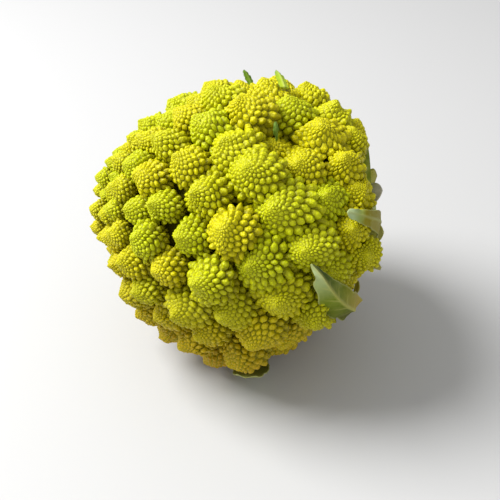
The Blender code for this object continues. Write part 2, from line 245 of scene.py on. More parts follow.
# Florets stand on one spiral, each a golden angle on from the last
floret = {
    "step": 0.0141,
    "width": 0.32,           # as a share of the distance from the head's line
    "tipSpread": 0.028,      # keeps those at the tip from shrinking to nothing
    "spiralHand": -1,
    "spiralStart": math.radians(69),
    "lastRow": math.radians(135),
    "tipRow": math.radians(1.5),
    "lean": 0.38,
    "restAngle": math.radians(30),
    "restPress": 0.0036,
    "seed": 14,
    "sizeVariation": 0.11,
    "heightVariation": 0.024,
    "placeVariation": 0.09,
    "leanVariation": 0.12,
    "pressedDepth": 0.09,    # a bud pushed in further than this, in floret widths, is dropped
    "scrapShare": 0.12,      # buds that hang together in less than this share of it are dropped
    # those that outgrew the others: direction from the heart, how much wider, how much taller
    "outgrown": (
        ((0.133, -0.677, 0.724), 1.28, 1.02),
        ((-0.053, -0.856, 0.514), 1.08, 1.03),
        ((0.219, -0.895, 0.388), 1.08, 1.02),
        ((-0.131, -0.122, 0.984), 1.10, 1.02),
        ((0.275, -0.011, 0.961), 1.10, 1.03),
        ((-0.873, 0.003, 0.487), 1.12, 1.03),
        ((-0.974, -0.227, -0.019), 1.15, 1.04),
        ((-0.858, -0.425, -0.288), 1.12, 1.04),
    ),
}


def evenRows(travel, fromAxis, step):
    # where equal spiral steps fall along a turned outline, so that they stay in scale with it
    rate = 1 / fromAxis
    pieces = 0.5 * (rate[1:] + rate[:-1]) * np.abs(np.diff(travel))
    climbed = np.concatenate(([0.0], np.cumsum(pieces)))
    steps = np.arange(0.0, climbed[-1], step)
    return np.interp(steps, climbed, np.arange(len(travel)))


def floretAngles():
    polar = np.linspace(floret["lastRow"], floret["tipRow"], 3000)
    radius = envelope(polar)
    stretch = np.hypot(radius, np.gradient(radius, polar))
    travel = np.concatenate(([0.0], np.cumsum(stretch[1:] * np.abs(np.diff(polar)))))
    away = radius * np.sin(polar)
    rows = evenRows(travel, (away**2 + floret["tipSpread"] ** 2) / away, floret["step"])
    return np.interp(rows, np.arange(len(polar)), polar)


def layOutFlorets():
    draw = np.random.default_rng(floret["seed"])
    polar = floretAngles()
    count = len(polar)
    size = 1 + floret["sizeVariation"] * draw.uniform(-1.6, 1.6, count)
    height = 1 + floret["heightVariation"] * draw.uniform(-1.6, 1.6, count)
    shift = floret["placeVariation"] * draw.uniform(-1.0, 1.0, (count, 2))
    lean = floret["leanVariation"] * draw.uniform(-1.0, 1.0, (count, 3))
    across = floret["width"] * np.hypot(np.sin(polar), floret["tipSpread"] / head["radius"])
    polar = polar + shift[:, 0] * across
    spiral = floret["spiralHand"] * np.arange(count) * goldenAngle
    turn = floret["spiralStart"] + spiral + shift[:, 1] * across / np.sin(polar)
    outward = headDirection(polar, turn)
    for direction, wider, taller in floret["outgrown"]:
        nearest = np.argmax(outward @ np.array(direction))
        size[nearest] *= wider
        height[nearest] *= taller
    width = floret["width"] * np.hypot(envelope(polar) * np.sin(polar), floret["tipSpread"]) * size
    reach = envelope(polar) * height * (1 + head["sag"] * outward @ head["sagDirection"])
    reach *= drawnIn(outward)
    downward = -outward[:, 2]
    under = downward > math.cos(floret["restAngle"])
    reach[under] = (heart[2] + floret["restPress"]) / downward[under]
    tips = keepUnderLeaves(outward * reach[:, None], bed["margin"])
    axes = unit(outward + floret["lean"] * tipAxis + lean)
    return {"tip": tips, "axis": axes, "width": width}


# Each floret is a quilt of buds on a tighter spiral, shrinking towards its point
bud = {
    "step": 0.0179,
    "size": 0.36,            # width of a bud at the floret's rim, in half widths
    "rimSkip": 21,           # the lowest buds only close the last round
    "coneDrop": 0.68,        # the floret's outline, in half widths
    "domeDrop": 0.50,
    "sideDepth": 0.75,
    "sideTuck": 0.30,
    "sideSpare": 0.35,
    "fill": 0.92,            # how much of its room a floret takes
    "rise": 0.20,            # height of a bud at the point, in bud widths
    "riseMore": 0.32,        # how much more it is at the rim
    "crease": 0.06,
    "creaseMore": 0.30,
    "unevenness": 0.32,
    "warp": 0.060,           # how far buds wander, in half widths
    "warpTurns": 3.2,
    "ovalVariation": 0.05,
    "tallVariation": 0.06,
    "buried": 0.16,          # how deep in a neighbour a bud is left out, in its half widths
    "seed": 21,
}
floretKinds = (
    # from this width: least distance that sets the buds' size, one ring above, two rings above
    {"from": 0.0150, "tipSpread": 0.22, "oneRing": 0.05, "twoRings": 0.60},
    {"from": 0.0080, "tipSpread": 0.28, "oneRing": 0.15, "twoRings": 0.90},
    {"from": 0.0045, "tipSpread": 0.38, "oneRing": 0.40, "twoRings": 1.20},
    {"from": 0.0000, "tipSpread": 0.50, "oneRing": 0.50, "twoRings": 1.20},
)


def budOutline():
    side = np.linspace(bud["sideDepth"] + bud["sideSpare"], 0.0, 400)
    fromAxis = 1 - bud["sideTuck"] * (side / bud["sideDepth"]) ** 2
    dome = np.linspace(1.0, 0.01, 2400)[1:]
    drop = bud["coneDrop"] + bud["domeDrop"] + side
    domeDrop = bud["coneDrop"] * dome + bud["domeDrop"] * (1 - np.sqrt(1 - dome**2))
    return np.concatenate((fromAxis, dome)), np.concatenate((drop, domeDrop))


def makeQuilt(kind):
    # the buds' tops, rings and shared corners on a floret of unit half width
    fromAxis, drop = budOutline()
    travel = np.concatenate(([0.0], np.cumsum(np.hypot(np.diff(fromAxis), np.diff(drop)))))
    spreadRate = (fromAxis**2 + kind["tipSpread"] ** 2) / fromAxis
    rows = evenRows(travel, spreadRate, bud["step"])
    line = np.arange(len(fromAxis))
    slopeOut = np.abs(np.gradient(drop, travel))
    slopeUp = -np.gradient(fromAxis, travel)
    # laid out flat so that angles stay true, to find which buds touch
    closeness = 0.5 * (1 / fromAxis[1:] + 1 / fromAxis[:-1]) * np.diff(travel)
    flatRadius = 1000 * np.exp(-np.concatenate(([0.0], np.cumsum(closeness))))
    turns = np.arange(len(rows)) * goldenAngle
    flat = np.interp(rows, line, flatRadius)[:, None] * np.stack((np.cos(turns), np.sin(turns)), axis=1)
    _, _, cells, origin, _, _ = delaunay_2d_cdt([Vector(place) for place in flat], [], [], 0, 1e-7)
    cells = np.array([[origin[corner][0] for corner in cell] for cell in cells])
    middles = flat[cells].mean(axis=1)

    def onSurface(row, turn):
        away = np.interp(row, line, fromAxis)
        down = np.interp(row, line, drop)
        out = np.interp(row, line, slopeOut)
        up = np.interp(row, line, slopeUp)
        point = np.stack((away * np.cos(turn), away * np.sin(turn), -down), axis=1)
        normal = np.stack((out * np.cos(turn), out * np.sin(turn), up), axis=1)
        return point, unit(normal), away, bud["size"] * np.hypot(away, kind["tipSpread"])

    middleRows = np.interp(np.hypot(*middles.T), flatRadius[::-1], line[::-1])
    cornerPoints, cornerNormals, cornerAway, cornerSize = onSurface(
        middleRows, np.arctan2(middles[:, 1], middles[:, 0])
    )
    order = np.arange(len(rows) - bud["rimSkip"])
    rows, turns, flat = rows[bud["rimSkip"] :], turns[bud["rimSkip"] :], flat[bud["rimSkip"] :]
    tops, topNormals, away, size = onSurface(rows, turns)
    rings = []
    for number in order:
        round = np.nonzero((cells == number + bud["rimSkip"]).any(axis=1))[0]
        spokes = middles[round] - flat[number]
        rings.append(round[np.argsort(np.arctan2(spokes[:, 1], spokes[:, 0]))])

    rise = (bud["rise"] + bud["riseMore"] * away) * size
    sink = (bud["crease"] + bud["creaseMore"] * np.minimum(cornerAway, 1.0)) * cornerSize
    # rings round each bud: share of the way out to the corners, and share of the height
    ringShapes = {0: (), 1: ((0.66, 0.64),), 2: ((0.42, 0.88), (0.80, 0.44))}
    ringCount = np.where(away > kind["twoRings"], 2, np.where(away > kind["oneRing"], 1, 0))
    count = len(order)
    points = [tops, cornerPoints]
    shifts = [topNormals * rise[:, None], -cornerNormals * sink[:, None]]
    owners = [order, np.full(len(cornerPoints), -1)]
    crest = [np.ones(count), np.zeros(len(cornerPoints))]
    faces, faceOwner = [], []
    used = count + len(cornerPoints)
    for number, ring in enumerate(rings):
        loops = []
        sides = len(ring)
        for share, height in ringShapes[int(ringCount[number])]:
            spokes = cornerPoints[ring] - tops[number]
            length = np.linalg.norm(spokes, axis=1)
            evened = spokes * ((0.3 * length + 0.7 * length.mean()) / length)[:, None]
            points.append(tops[number] + evened * share)
            shifts.append(np.repeat(topNormals[number : number + 1] * rise[number] * height, sides, axis=0))
            owners.append(np.full(sides, number))
            crest.append(np.full(sides, height))
            loops.append(used + np.arange(sides))
            used += sides
        loops.append(count + ring)
        first = loops[0]
        for step in range(sides):
            after = (step + 1) % sides
            faces.append((number, first[step], first[after]))
            faceOwner.append(number)
            for inner, outer in zip(loops[:-1], loops[1:]):
                faces.append((inner[step], outer[step], outer[after]))
                faces.append((inner[step], outer[after], inner[after]))
                faceOwner += [number, number]
    return {
        "points": np.concatenate(points),
        "shifts": np.concatenate(shifts),
        "owner": np.concatenate(owners),
        "crest": np.concatenate(crest),
        "depth": np.clip(-np.concatenate(points)[:, 2] / (bud["coneDrop"] + bud["domeDrop"]) / 1.5, 0, 1),
        "tops": tops,
        "faces": np.array(faces),
        "faceOwner": np.array(faceOwner),
        "count": count,
    }


def floretFrame(axis, start):
    first = unit(np.cross(axis, head["sagDirection"]))
    second = np.cross(axis, first)
    turned = math.cos(start) * first + math.sin(start) * second
    return np.stack((turned, np.cross(axis, turned), axis))


def hiddenBuds(number, tops, florets, frames):
    # buds that lie well inside a neighbouring floret
    tips, widths = florets["tip"], florets["width"]
    apart = np.linalg.norm(tips - tips[number], axis=1)
    near = np.nonzero((apart < 0.75 * (widths + widths[number])) & (apart > 0))[0]
    hidden = np.zeros(len(tops), bool)
    fromAxis, drop = budOutline()
    for other in near:
        local = (tops - tips[other]) @ frames[other].T / (widths[other] / 2)
        away = np.hypot(local[:, 0], local[:, 1])
        wall = np.interp(-local[:, 2], drop[::-1], fromAxis[::-1], left=0.0, right=0.5)
        hidden |= away < wall - bud["buried"]
    return hidden


def makeMesh(name, points, faces, colours):
    mesh = bpy.data.meshes.new(name)
    mesh.vertices.add(len(points))
    mesh.vertices.foreach_set("co", np.asarray(points, np.float32).ravel())
    mesh.loops.add(len(faces) * 3)
    mesh.loops.foreach_set("vertex_index", np.asarray(faces, np.int32).ravel())
    mesh.polygons.add(len(faces))
    mesh.polygons.foreach_set("loop_start", np.arange(len(faces), dtype=np.int32) * 3)
    mesh.polygons.foreach_set("use_smooth", np.ones(len(faces), bool))
    mesh.update(calc_edges=True)
    mesh.validate()
    layer = mesh.color_attributes.new("growth", "FLOAT_COLOR", "POINT")
    full = np.concatenate((colours, np.ones((len(colours), 1))), axis=1)
    layer.data.foreach_set("color", full.astype(np.float32).ravel())
    piece = bpy.data.objects.new(name, mesh)
    bpy.context.scene.collection.objects.link(piece)
    return piece


def tubeFaces(rows, across):
    # triangles between closed rows of points, each row running round the one before
    first = np.arange((rows - 1) * across)
    after = first - first % across + (first + 1) % across
    lower = np.stack((first, after, first + across), axis=1)
    upper = np.stack((after, after + across, first + across), axis=1)
    return np.concatenate((lower, upper))


def addPiece(piece, material, node):
    piece.data.materials.append(material)
    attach(piece, "root")
    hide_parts(node)


def growFlorets(florets):
    quilts = [makeQuilt(kind) for kind in floretKinds]
    draw = np.random.default_rng(bud["seed"])
    frames = [floretFrame(axis, number * goldenAngle) for number, axis in enumerate(florets["axis"])]
    grown = []
    for number, tip in enumerate(florets["tip"]):
        width = florets["width"][number]
        kind = next(place for place, found in enumerate(floretKinds) if width >= found["from"])
        quilt = quilts[kind]
        turn = frames[number]
        oval = 1 + bud["ovalVariation"] * draw.normal()
        stretch = np.array((oval, 1 / oval, 1.0 + bud["tallVariation"] * draw.normal()))
        uneven = 1 + bud["unevenness"] * draw.normal(size=quilt["count"] + 1)
        uneven[-1] = 1.0
        local = quilt["points"] * stretch + quilt["shifts"] * uneven[quilt["owner"]][:, None]
        bend = draw.normal(size=(3, 3)) * bud["warpTurns"]
        local = local + bud["warp"] * np.sin(local @ bend + draw.uniform(0, fullTurn, 3))
        local[:, :2] *= bud["fill"]
        points = tip + local @ turn * width / 2
        tops = tip + (quilt["tops"] * stretch) @ turn * width / 2
        hidden = hiddenBuds(number, tops, florets, frames) | pressedBuds(tops, width)
        shown = ~hidden[quilt["faceOwner"]]
        tone = draw.uniform()
        colours = np.stack((quilt["crest"], quilt["depth"], np.full(len(points), tone)), axis=1)
        grown.append((points, withoutScraps(quilt["faces"][shown], len(points)), colours))
    return grown


def withoutScraps(faces, count):
    # drops the few buds that have come away from the rest of their floret
    label = np.arange(count)
    while True:
        least = np.repeat(label[faces].min(axis=1), 3)
        joined = label.copy()
        np.minimum.at(joined, faces.ravel(), least)
        joined = joined[joined]
        if np.array_equal(joined, label):
            break
        label = joined
    found = label[faces[:, 0]]
    sizes = np.bincount(found, minlength=count)
    return faces[sizes[found] > floret["scrapShare"] * len(faces)]


def pressedBuds(tops, width):
    # buds that a leaf or stub lies on, which would be drawn out into stripes
    pressed = np.linalg.norm(tops - keepUnderLeaves(tops, bed["floretMargin"]), axis=1)
    return pressed > floret["pressedDepth"] * width


def pressFlat(points):
    share = np.minimum(1.0, heart[2] / np.maximum(-points[:, 2], 1e-9))
    return points * share[:, None]


def joinFlorets(name, grown, chosen, material):
    points, faces, colours, used = [], [], [], 0
    for number in chosen:
        points.append(grown[number][0])
        faces.append(grown[number][1] + used)
        colours.append(grown[number][2])
        used += len(grown[number][0])
    points, faces, colours = np.concatenate(points), np.concatenate(faces), np.concatenate(colours)
    kept, faces = np.unique(faces, return_inverse=True)
    faces = faces.reshape(-1, 3)
    points = pressFlat(keepUnderLeaves(points[kept], bed["floretMargin"])) + heart
    piece = makeMesh(name, points, faces, colours[kept])
    print(name, len(faces), "triangles")
    addPiece(piece, material, "curd")


# The branches underneath, which run in to the stem, and the curd's inside below the florets, coloured near
# black as painted shade
underside = {
    "branches": 9,
    "relief": 0.075,
    "rimAngle": math.radians(143),
    "rimReach": 0.066,
    "stemSeat": 0.046,
    "seatRadius": 0.0180,
    "insideDepth": 0.86,     # how far below the tips, in floret widths
    "rimBlend": 2.15,        # angle from the tip at which the inside starts to rise to the rim
    "innerRows": 50,
    "outerRows": 34,
    "turns": 216,
}


def growBranches():
    # one closed skin: the inside below the florets, then ribs that narrow towards the stem
    seatEdge = math.pi - math.atan(underside["seatRadius"] / underside["stemSeat"])
    rimAngle, rimReach = underside["rimAngle"], underside["rimReach"]
    seatReach = math.hypot(underside["stemSeat"], underside["seatRadius"])
    turns = np.arange(underside["turns"]) * fullTurn / underside["turns"]
    inner = np.linspace(0.0, rimAngle, underside["innerRows"])
    rows, colours = [], []
    for polar in inner:
        away = envelope(polar) * math.sin(polar)
        width = floret["width"] * math.hypot(away, floret["tipSpread"])
        outward = headDirection(np.full(len(turns), polar), turns)
        reach = envelope(polar) * (1 + head["sag"] * outward @ head["sagDirection"]) * drawnIn(outward)
        nearRim = min(1.0, max(0.0, (polar - underside["rimBlend"]) / (rimAngle - underside["rimBlend"])))
        low = reach - underside["insideDepth"] * width
        low = low + (rimReach * drawnIn(outward) - low) * nearRim**1.5
        rows.append(outward * low[:, None])
        colours.append(np.tile((0.0, nearRim, 0.0), (len(turns), 1)))
    for share in np.linspace(0, 1, underside["outerRows"])[1:]:
        polar = rimAngle + (seatEdge - rimAngle) * share
        outward = headDirection(np.full(len(turns), polar), turns)
        keep = 1 - (1 - drawnIn(outward)) * (1 - share)
        reach = (rimReach + (seatReach - rimReach) * share**0.6) * keep
        wave = np.cos(underside["branches"] * turns)
        rib = np.sign(wave) * np.abs(wave) ** 0.6
        reach = reach * (1 + underside["relief"] * math.sin(math.pi * share) * rib)
        rows.append(outward * reach[:, None])
        even = np.ones(len(turns))
        colours.append(np.stack((0.5 + 0.5 * rib, even, even * share), axis=1))
    seat = stemAxis * underside["stemSeat"]
    points = np.concatenate(rows + [seat[None, :]])
    colours = np.concatenate(colours + [np.array([[0.5, 1.0, 1.0]])])
    across = len(turns)
    last = (len(rows) - 1) * across + np.arange(across)
    end = np.stack((last, np.roll(last, -1), np.full(across, len(points) - 1)), axis=1)
    faces = np.concatenate((tubeFaces(len(rows), across)[across:], end))
    return pressFlat(keepUnderLeaves(points, bed["margin"])) + heart, faces, colours


# Finishes
def newMaterial(name, roughness):
    material = bpy.data.materials.new(name)
    material.use_nodes = True
    shader = material.node_tree.nodes["Principled BSDF"]
    shader.inputs["Roughness"].default_value = roughness
    return material, material.node_tree, shader


def mixColour(tree, share, low, high):
    mix = tree.nodes.new("ShaderNodeMix")
    mix.data_type = "RGBA"
    for socket, value in (("A", low), ("B", high)):
        place = next(s for s in mix.inputs if s.name == socket and s.type == "RGBA")
        if isinstance(value, tuple):
            place.default_value = (*value, 1.0)
        else:
            tree.links.new(value, place)
    tree.links.new(share, mix.inputs[0])
    return next(s for s in mix.outputs if s.type == "RGBA")


def spread(tree, value, low, high, most=1.0):
    # brings a value between two limits to the range from 0 to most
    node = tree.nodes.new("ShaderNodeMapRange")
    tree.links.new(value, node.inputs["Value"])
    node.inputs["From Min"].default_value = low
    node.inputs["From Max"].default_value = high
    node.inputs["To Max"].default_value = most
    return node.outputs["Result"]


def growthParts(tree):
    # the three values that each piece's mesh carries for its colours
    growth = tree.nodes.new("ShaderNodeAttribute")
    growth.attribute_name = "growth"
    parts = tree.nodes.new("ShaderNodeSeparateColor")
    tree.links.new(growth.outputs["Color"], parts.inputs["Color"])
    return parts.outputs


def noise(tree, scale, detail):
    place = tree.nodes.new("ShaderNodeTexCoord")
    node = tree.nodes.new("ShaderNodeTexNoise")
    tree.links.new(place.outputs["Object"], node.inputs["Vector"])
    node.inputs["Scale"].default_value = scale
    node.inputs["Detail"].default_value = detail
    return node.outputs["Fac"]


curdLook = {
    "crest": (0.78, 0.71, 0.002),
    "lime": (0.61, 0.70, 0.003),
    # painted shade in the creases between buds; the next colour is the lighter painted shade for creases
    # near each floret's point
    "crease": (0.25, 0.23, 0.001),
    "tipCreasePaintedShade": (0.46, 0.45, 0.003),
    "low": (0.32, 0.28, 0.001),          # painted shade on the florets' sides, deep between them
    # painted light bounced up from below: the head turns warmer ochre towards its bottom
    "paintedBounceOchre": (0.50, 0.27, 0.002),
    "grains": 760.0,         # the finest buds, to a metre
    "grainRise": 0.0009,
    "grainStrength": 0.6,
    # how far the edges of the finest buds are darkened towards the crease colour, as painted shade
    "grainPaintedShade": 0.32,
    "roughness": 0.42,
    "specular": 0.22,
    "subsurface": 0.12,
    "subsurfaceRadius": (0.002, 0.0018, 0.0002),
}


def curdMaterial():
    material, tree, shader = newMaterial("curd lime yellow", curdLook["roughness"])
    crest, depth, tone = growthParts(tree)[:3]
    body = mixColour(tree, spread(tree, tone, 0.25, 1.0), curdLook["crest"], curdLook["lime"])
    place = tree.nodes.new("ShaderNodeTexCoord")
    height = tree.nodes.new("ShaderNodeSeparateXYZ")
    tree.links.new(place.outputs["Object"], height.inputs[0])
    # painted bounce light: the head turns ochre towards its bottom, by object height
    low = spread(tree, height.outputs["Z"], 0.092, 0.006)
    body = mixColour(tree, low, body, curdLook["paintedBounceOchre"])
    # the florets' sides, deep between them, go to the darker painted shade
    body = mixColour(tree, spread(tree, depth, 0.50, 0.95), body, curdLook["low"])
    # painted shade for the creases between buds, lighter near each floret's point and darker deeper down
    crease = mixColour(tree, spread(tree, depth, 0.0, 0.55), curdLook["tipCreasePaintedShade"], curdLook["crease"])
    grains = tree.nodes.new("ShaderNodeTexVoronoi")
    grains.inputs["Scale"].default_value = curdLook["grains"]
    tree.links.new(place.outputs["Object"], grains.inputs["Vector"])
    grain = grains.outputs["Distance"]
    # the edges of the finest buds are darkened as painted shade between them
    paintedGrainEdges = spread(tree, grain, 0.25, 0.75, curdLook["grainPaintedShade"])
    body = mixColour(tree, paintedGrainEdges, body, curdLook["crease"])
    # bud tops take the body colour, the corners between buds the painted crease shade
    colour = mixColour(tree, spread(tree, crest, 0.0, 0.75), crease, body)
    tree.links.new(colour, shader.inputs["Base Color"])
    bump = tree.nodes.new("ShaderNodeBump")
    bump.invert = True
    bump.inputs["Strength"].default_value = curdLook["grainStrength"]
    bump.inputs["Distance"].default_value = curdLook["grainRise"]
    tree.links.new(grain, bump.inputs["Height"])
    tree.links.new(bump.outputs["Normal"], shader.inputs["Normal"])
    shader.inputs["Specular IOR Level"].default_value = curdLook["specular"]
    shader.inputs["Subsurface Weight"].default_value = curdLook["subsurface"]
    shader.inputs["Subsurface Radius"].default_value = curdLook["subsurfaceRadius"]
    shader.inputs["Subsurface Scale"].default_value = 1.0
    return material


branchLook = {
    # painted shade: the inside deep below the florets is near black
    "inside": (0.12, 0.11, 0.001),
    "valley": (0.20, 0.25, 0.012),
    "rib": (0.52, 0.58, 0.10),
    "pale": (0.62, 0.66, 0.20),
    "roughness": 0.5,
    "specular": 0.05,
}


def branchMaterial():
    material, tree, shader = newMaterial("curd branches", branchLook["roughness"])
    rib, outside = growthParts(tree)[:2]
    fibre = spread(tree, noise(tree, 260.0, 3.0), 0.35, 0.75, 0.35)
    outer = mixColour(tree, rib, branchLook["valley"], branchLook["rib"])
    outer = mixColour(tree, fibre, outer, branchLook["pale"])
    # the inside below the florets takes the near-black painted shade, the branches outside their own
    # colours
    colour = mixColour(tree, spread(tree, outside, 0.2, 1.0), branchLook["inside"], outer)
    tree.links.new(colour, shader.inputs["Base Color"])
    shader.inputs["Specular IOR Level"].default_value = branchLook["specular"]
    return material


curdFinish = curdMaterial()
branchFinish = branchMaterial()
florets = layOutFlorets()
print(len(florets["width"]), "florets laid out")
grown = growFlorets(florets)
order = np.arange(len(grown))
loads = np.cumsum([len(faces) for _, faces, _ in grown])
print(loads[-1], "triangles on the florets")
pieceCount = 6
for number in range(pieceCount):
    low, high = loads[-1] * number / pieceCount, loads[-1] * (number + 1) / pieceCount
    chosen = order[(loads > low) & (loads <= high)]
    joinFlorets(f"florets_{number + 1}", grown, chosen, curdFinish)

points, faces, colours = growBranches()
branches = makeMesh("branches", points, faces, colours)
addPiece(branches, branchFinish, "curd")
print("branches", len(faces), "triangles")

# Blades of leaves, and the thick stubs left where leaves were trimmed off
plainBlade = {
    "rows": 40,
    "across": 25,
    "thickness": 0.0007,
    "thin": 0.5,             # how much thinner it is at its edge
    "cup": 14.0,
    "left": 1.0,             # each side's width, as a share of the half width
    "right": 1.0,
    "fold": 0.0,             # how sharply it folds along its midrib at the tip
    "ruffle": 0.0005,
    "waves": 4.0,
    "teeth": 0.035,
    "midribWidth": 0.0007,
    "midribRise": 0.0004,
    "veins": 6.0,
    "veinRise": 0.00010,
    "ribs": 0.0,
    "ribRise": 0.0,
    "roundTip": 0.10,        # share of the length over which the tip rounds off
    "changes": (0.0, 0.5, 0.5, 1.0),
    "pale": (0.40, 0.40, 0.12),
    "rim": (0.42, 0.46, 0.18),
    "roughness": 0.52,
    "specular": 0.08,
}
bladeForms = {
    # tones are its colours at the base, in the middle and at the tip, and leftTones the same to
    # the left of its midrib; changes are the shares of its length where they pass into each other
    "curledLeaf": plainBlade | {
        "node": "curled_leaf",
        "rows": 90,
        "across": 45,
        "left": 1.02,
        "right": 0.78,
        "fold": 1.5,
        "ruffle": 0.0013,
        "waves": 4.5,
        "midribWidth": 0.0009,
        "midribRise": 0.0009,
        "veins": 8.0,
        "veinRise": 0.00020,
        "changes": (0.34, 0.60, 0.64, 0.88),
        # the left half is darkened near its base as painted shadow under the lower lobe
        "leftTones": ((0.075, 0.090, 0.002), (0.16, 0.22, 0.010), (0.46, 0.55, 0.26)),
        # near the tip the right half runs to near black, painted shade where the leaf curls over
        "tones": ((0.38, 0.29, 0.045), (0.16, 0.20, 0.012), (0.018, 0.060, 0.022)),
        "pale": (0.50, 0.48, 0.12),
        "rim": (0.46, 0.48, 0.16),
    },
    "frontLeaf": plainBlade | {
        "node": "front_leaf",
        "ruffle": 0.0003,
        "left": 1.25,
        "changes": (0.60, 0.69, 0.70, 0.86),
        "tones": ((0.27, 0.23, 0.010), (0.30, 0.38, 0.08), (0.44, 0.56, 0.28)),
        "pale": (0.42, 0.44, 0.14),
    },
    "underLeaf": plainBlade | {
        "node": "under_leaf",
        "tones": ((0.28, 0.28, 0.04), (0.22, 0.25, 0.04), (0.34, 0.38, 0.10)),
        "rim": (0.50, 0.52, 0.20),
    },
    "topLeftLeaf": plainBlade | {
        "node": "top_left_leaf",
        "ruffle": 0.0002,
        "tones": ((0.16, 0.27, 0.01), (0.12, 0.22, 0.01), (0.09, 0.18, 0.02)),
        "pale": (0.20, 0.30, 0.04),
        "rim": (0.12, 0.20, 0.02),
    },
    "topRightLeaf": plainBlade | {
        "node": "top_right_leaf",
        "ruffle": 0.0002,
        "fold": 0.5,
        "tones": ((0.38, 0.48, 0.02), (0.30, 0.43, 0.01), (0.14, 0.24, 0.06)),
        "pale": (0.44, 0.52, 0.10),
        "rim": (0.18, 0.30, 0.03),
    },
    "middleLeaf": plainBlade | {
        "node": "middle_leaf",
        "ruffle": 0.0002,
        "left": 0.75,
        "right": 0.75,
        "tones": ((0.09, 0.15, 0.010), (0.11, 0.20, 0.015), (0.16, 0.28, 0.05)),
        "pale": (0.20, 0.30, 0.05),
        "rim": (0.10, 0.18, 0.02),
    },
}
stubForm = plainBlade | {
    "rows": 30,
    "across": 55,
    "thickness": 0.0026,
    "thin": 0.55,
    "cup": -25.0,
    "ruffle": 0.0004,
    "waves": 0.6,
    "teeth": 0.02,
    "midribWidth": 0.0028,
    "midribRise": 0.0008,
    "veinRise": 0.0,
    "ribs": 9.0,
    "ribRise": 0.00016,
    "roundTip": 0.22,
    "changes": (0.0, 0.5, 0.80, 1.0),
    "tones": ((0.33, 0.32, 0.030), (0.38, 0.36, 0.045), (0.46, 0.42, 0.12)),
    "pale": (0.50, 0.50, 0.14),
    "rim": (0.26, 0.25, 0.03),
}
paleStub = {
    "tones": ((0.34, 0.34, 0.10), (0.44, 0.42, 0.24), (0.54, 0.51, 0.38)),
    "pale": (0.56, 0.54, 0.42),
    "rim": (0.36, 0.33, 0.20),
}


def growBlade(centres, halfWidths, form):
    # one closed skin, and for its colours how pale a vein is, how far along and how far out
    tangents = unit(np.gradient(centres, axis=0))
    sideways = unit(np.cross(tangents, unit(centres)))[:, None, :]
    facing = np.cross(sideways, tangents[:, None, :])
    place = np.linspace(-1, 1, form["across"])
    side = np.sign(place) * np.abs(place) ** 1.35
    along, out = np.meshgrid(np.linspace(0, 1, len(centres)), side, indexing="ij")
    left = out < 0
    tail = np.clip((along - 1 + form["roundTip"]) / max(form["roundTip"], 1e-6), 0, 1)
    half = halfWidths[:, None] * np.where(left, form["left"], form["right"])
    half = half * np.sqrt(1 - 0.96 * tail**2 * (form["roundTip"] > 0))
    half = half * (1 + form["teeth"] * np.sin(fullTurn * 1.7 * form["waves"] * along + 2 * left))
    away = out * half
    bent = -form["cup"] * away**2 - form["fold"] * along**2 * np.abs(away)
    wave = np.sin(fullTurn * form["waves"] * along + 1.3 * left)
    bent += form["ruffle"] * np.abs(out) ** 2.5 * wave
    length = np.linalg.norm(np.diff(centres, axis=0), axis=1).sum()
    course = form["veins"] * (along - 0.8 * np.abs(away) / length) + 0.25 * left
    vein = np.maximum(0.0, np.cos(fullTurn * course)) ** 8 * (1 - np.abs(out))
    midrib = np.exp(-((away / form["midribWidth"]) ** 2)) * (1 - 0.6 * along)
    lift = form["midribRise"] * midrib + form["veinRise"] * vein
    lift += form["ribRise"] * np.cos(fullTurn * form["ribs"] * out / 2)
    depth = form["thickness"] / 2 * (1 - form["thin"] * out**2) * (1 - 0.6 * tail)
    middle = centres[:, None, :] + away[..., None] * sideways
    front = middle + (bent + depth + lift)[..., None] * facing
    back = middle + (bent - depth - 0.4 * lift)[..., None] * facing
    points = np.concatenate((front, back[:, ::-1]), axis=1)
    colours = np.stack((np.maximum(midrib, 0.7 * vein), along, 0.5 + 0.5 * out), axis=-1)
    colours = np.concatenate((colours, colours[:, ::-1]), axis=1)
    rows, loop = points.shape[:2]
    start = np.arange(form["across"] - 1)
    ends = []
    for first in (0, (rows - 1) * loop):
        near, far = first + start, first + loop - 1 - start
        lower = np.stack((near, near + 1, far - 1), axis=1)
        upper = np.stack((near, far - 1, far), axis=1)
        cap = np.concatenate((lower, upper))
        ends.append(cap if first else cap[:, ::-1])
    faces = np.concatenate((tubeFaces(rows, loop), *ends))
    return points.reshape(-1, 3), faces, colours.reshape(-1, 3)


def bladeMaterial(name, form):
    material, tree, shader = newMaterial(name, form["roughness"])
    vein, along, side = growthParts(tree)[:3]
    first, second, third, fourth = form["changes"]
    lower, upper = spread(tree, along, first, second), spread(tree, along, third, fourth)
    halves = []
    for tones in (form.get("leftTones", form["tones"]), form["tones"]):
        body = mixColour(tree, lower, tones[0], tones[1])
        halves.append(mixColour(tree, upper, body, tones[2]))
    body = mixColour(tree, spread(tree, side, 0.46, 0.54), *halves)
    mottle = spread(tree, noise(tree, 520.0, 4.0), 0.35, 0.85, 0.20)
    body = mixColour(tree, mottle, body, form["pale"])
    body = mixColour(tree, spread(tree, side, 0.95, 1.0, 0.7), body, form["rim"])
    body = mixColour(tree, spread(tree, side, 0.05, 0.0, 0.7), body, form["rim"])
    colour = mixColour(tree, spread(tree, vein, 0.1, 0.9, 0.9), body, form["pale"])
    tree.links.new(colour, shader.inputs["Base Color"])
    shader.inputs["Specular IOR Level"].default_value = form["specular"]
    return material


